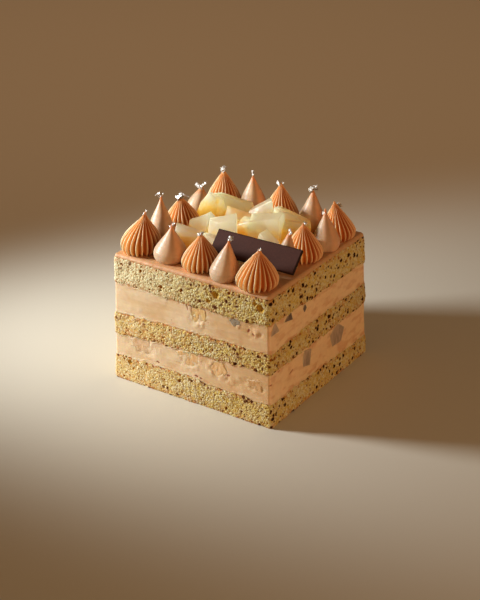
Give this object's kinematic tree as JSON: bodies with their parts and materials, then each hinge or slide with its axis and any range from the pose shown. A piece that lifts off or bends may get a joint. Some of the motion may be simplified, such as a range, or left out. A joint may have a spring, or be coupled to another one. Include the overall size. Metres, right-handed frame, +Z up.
{
  "type": "chiffon cake",
  "caption": "Square layered chiffon cake: sponge and cream with diced pear, an iced top, a border of ridged and plain piped kisses, a heap of pear chunks and a bare chocolate plaque.",
  "frame": {"origin": "centre of the flat underside", "axes": "+Z up, -Y towards the wide front face, +X towards the side on its right"},
  "size_m": [0.1198, 0.117, 0.1147],
  "materials": {
    "sponge": "open crumb, matte",
    "cream": "smeared cream, satin",
    "icing": "smooth cream, satin",
    "ridged_kiss": "piped cream, satin",
    "plain_kiss": "smooth piped cream, silky",
    "pear": "wet, slightly see-through fruit",
    "pear_die": "cut fruit smeared with cream",
    "chocolate": "dark tempered chocolate, satin",
    "silver_leaf": "crumpled edible silver leaf"
  },
  "bodies": {
    "root": {"sponge_bottom": "sponge", "cream_lower": "cream", "sponge_middle": "sponge", "cream_upper": "cream", "sponge_top": "sponge", "icing_top": "icing", "ridged_kiss_1": "ridged_kiss", "ridged_kiss_2": "ridged_kiss", "ridged_kiss_3": "ridged_kiss", "ridged_kiss_4": "ridged_kiss", "ridged_kiss_5": "ridged_kiss", "ridged_kiss_6": "ridged_kiss", "ridged_kiss_7": "ridged_kiss", "ridged_kiss_8": "ridged_kiss", "plain_kiss_1": "plain_kiss", "plain_kiss_2": "plain_kiss", "plain_kiss_3": "plain_kiss", "plain_kiss_4": "plain_kiss", "plain_kiss_5": "plain_kiss", "plain_kiss_6": "plain_kiss", "plain_kiss_7": "plain_kiss", "plain_kiss_8": "plain_kiss", "chocolate_plaque": "chocolate", "pear_piece_1": "pear", "pear_piece_2": "pear", "pear_piece_3": "pear", "pear_piece_4": "pear", "pear_piece_5": "pear", "pear_piece_6": "pear", "pear_piece_7": "pear", "pear_piece_8": "pear", "pear_piece_9": "pear", "pear_piece_10": "pear", "pear_piece_11": "pear", "pear_piece_12": "pear", "pear_piece_13": "pear", "cream_pear_1": "pear_die", "cream_pear_2": "pear_die", "cream_pear_3": "pear_die", "cream_pear_4": "pear_die", "cream_pear_5": "pear_die", "cream_pear_6": "pear_die", "cream_pear_7": "pear_die", "cream_pear_8": "pear_die", "cream_pear_9": "pear_die", "cream_pear_10": "pear_die", "cream_pear_11": "pear_die", "cream_pear_12": "pear_die", "cream_pear_13": "pear_die", "cream_pear_14": "pear_die", "cream_pear_15": "pear_die", "cream_pear_16": "pear_die", "cream_pear_17": "pear_die", "cream_pear_18": "pear_die", "cream_pear_19": "pear_die"}
  },
  "joints": []
}
